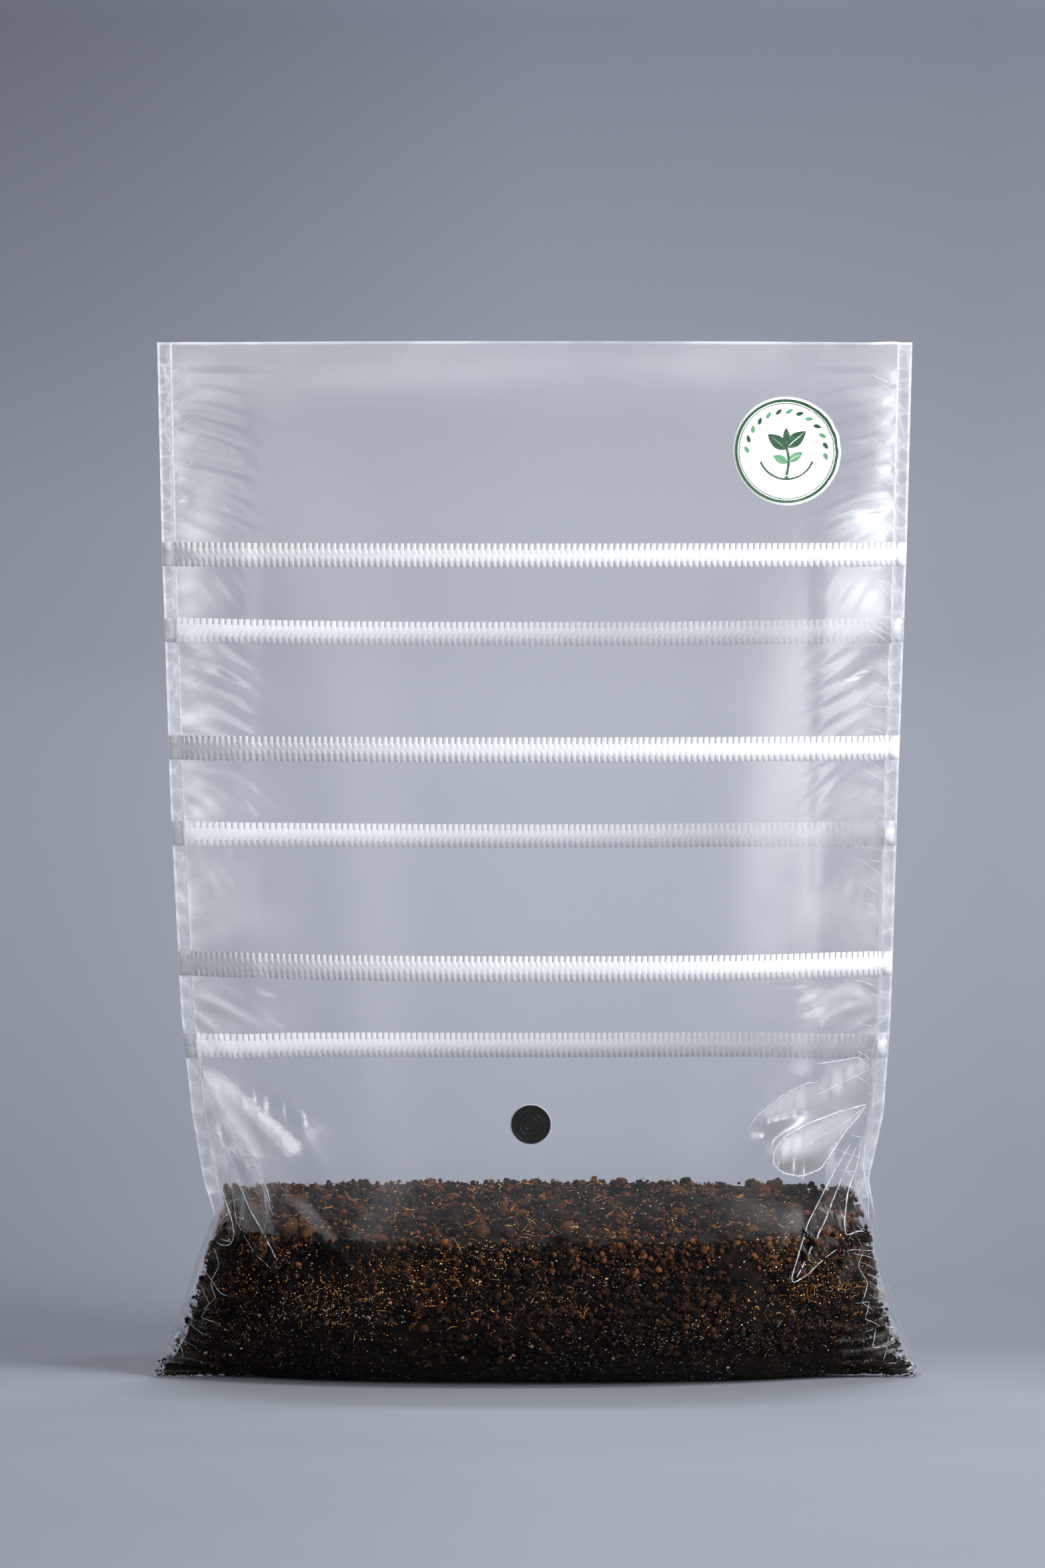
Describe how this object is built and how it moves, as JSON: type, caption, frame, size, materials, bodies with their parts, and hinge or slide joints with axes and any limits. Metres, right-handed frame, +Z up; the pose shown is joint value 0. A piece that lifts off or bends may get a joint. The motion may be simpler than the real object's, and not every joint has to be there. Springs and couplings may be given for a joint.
{
  "type": "compost bag",
  "caption": "Clear upright film bag with welded sides, white filter strips, a round rubber injection port and dark compost in its lower part.",
  "frame": {"origin": "on the floor under the middle of the bag", "axes": "+Z up to the mouth, -Y out of the front panel, +X to the right seen from the front"},
  "size_m": [0.4045, 0.1303, 0.5413],
  "materials": {
    "clear_film": "clear gloss",
    "filter_membrane": "matt",
    "compost": "loose and rough",
    "black_rubber": "satin",
    "clear_adhesive": "clear satin",
    "label_paper": "semi-gloss"
  },
  "bodies": {
    "root": {"film_bag": "clear_film", "compost": "compost", "filter_strip_1": "filter_membrane", "filter_strip_2": "filter_membrane", "filter_strip_3": "filter_membrane", "filter_strip_4": "filter_membrane", "filter_strip_5": "filter_membrane", "filter_strip_6": "filter_membrane", "injection_port": "black_rubber", "port_adhesive": "clear_adhesive", "label": "label_paper"}
  },
  "joints": []
}
